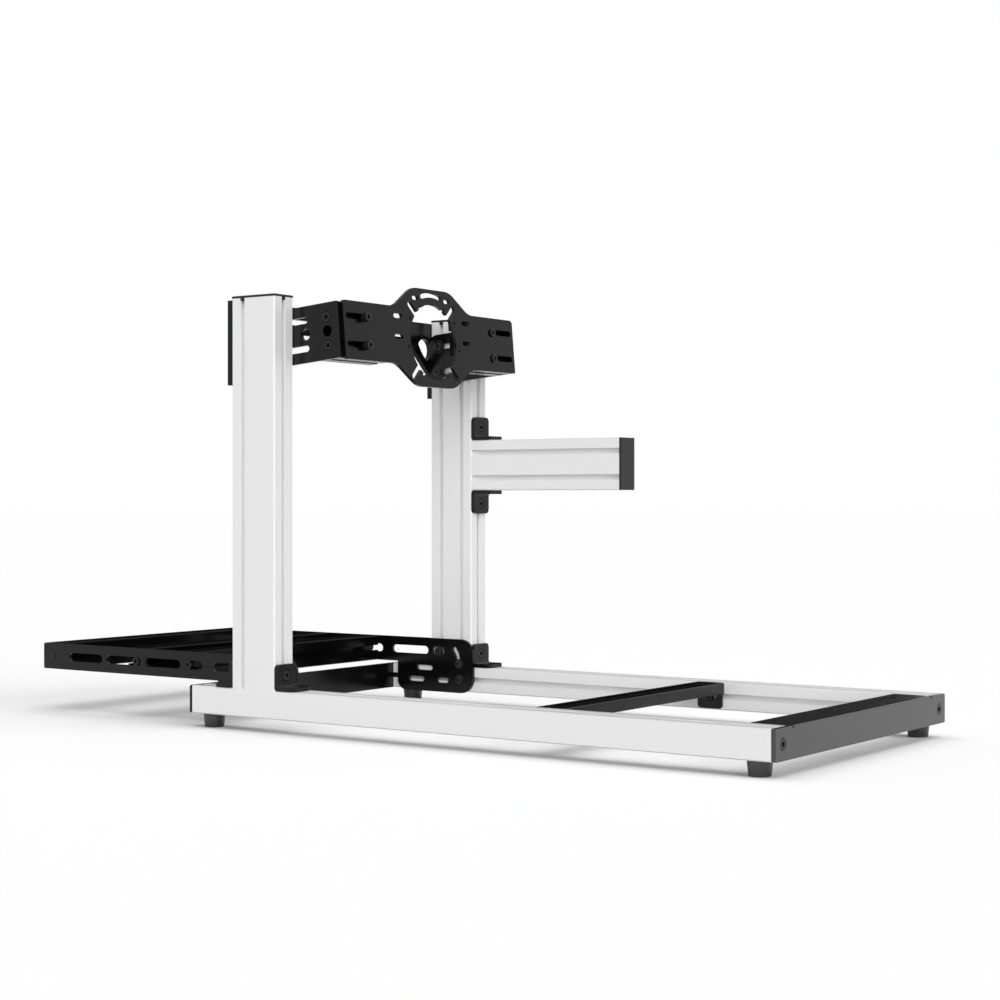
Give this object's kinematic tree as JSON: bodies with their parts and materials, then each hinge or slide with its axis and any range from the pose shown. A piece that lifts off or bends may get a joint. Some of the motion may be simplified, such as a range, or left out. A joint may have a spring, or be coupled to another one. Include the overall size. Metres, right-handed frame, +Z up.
{
  "type": "sim racing cockpit",
  "caption": "Open floor-standing frame of slotted aluminium extrusion with a tilted steering-wheel mounting plate on uprights, a side shifter arm, a slotted pedal deck and rubber feet",
  "frame": {"origin": "middle of the part on the floor, under the feet", "axes": "+X rearwards to the driver, +Y to the driver's right, where the shifter arm is, +Z up"},
  "size_m": [1.295, 0.511, 0.6392],
  "materials": {
    "silver_extrusion": "satin anodised",
    "black_extrusion": "black anodised",
    "black_steel": "fine black powder coat",
    "black_cap": "matte",
    "foot_rubber": "matte"
  },
  "bodies": {
    "root": {"left_base_rail": "silver_extrusion", "right_base_rail": "silver_extrusion", "left_upright": "silver_extrusion", "right_upright": "silver_extrusion", "shifter_arm": "silver_extrusion", "left_wheel_block": "black_extrusion", "right_wheel_block": "black_extrusion", "pedal_bar_front": "black_extrusion", "pedal_bar_middle": "black_extrusion", "pedal_bar_rear": "black_extrusion", "front_plate": "black_steel", "rear_plate": "black_steel", "seat_crossmember": "black_steel", "left_upright_bracket": "black_steel", "right_upright_bracket": "black_steel", "left_upright_front_bracket": "black_steel", "right_upright_front_bracket": "black_steel", "arm_upper_bracket": "black_steel", "arm_lower_bracket": "black_steel", "wheel_plate": "black_steel", "left_wheel_bracket": "black_steel", "right_wheel_bracket": "black_steel", "upright_brace": "black_steel", "left_pedal_side_plate": "black_steel", "right_pedal_side_plate": "black_steel", "left_upright_cap": "black_cap", "right_upright_cap": "black_cap", "shifter_arm_cap": "black_cap", "left_front_foot": "foot_rubber", "right_front_foot": "foot_rubber", "left_rear_foot": "foot_rubber", "right_rear_foot": "foot_rubber"}
  },
  "joints": []
}
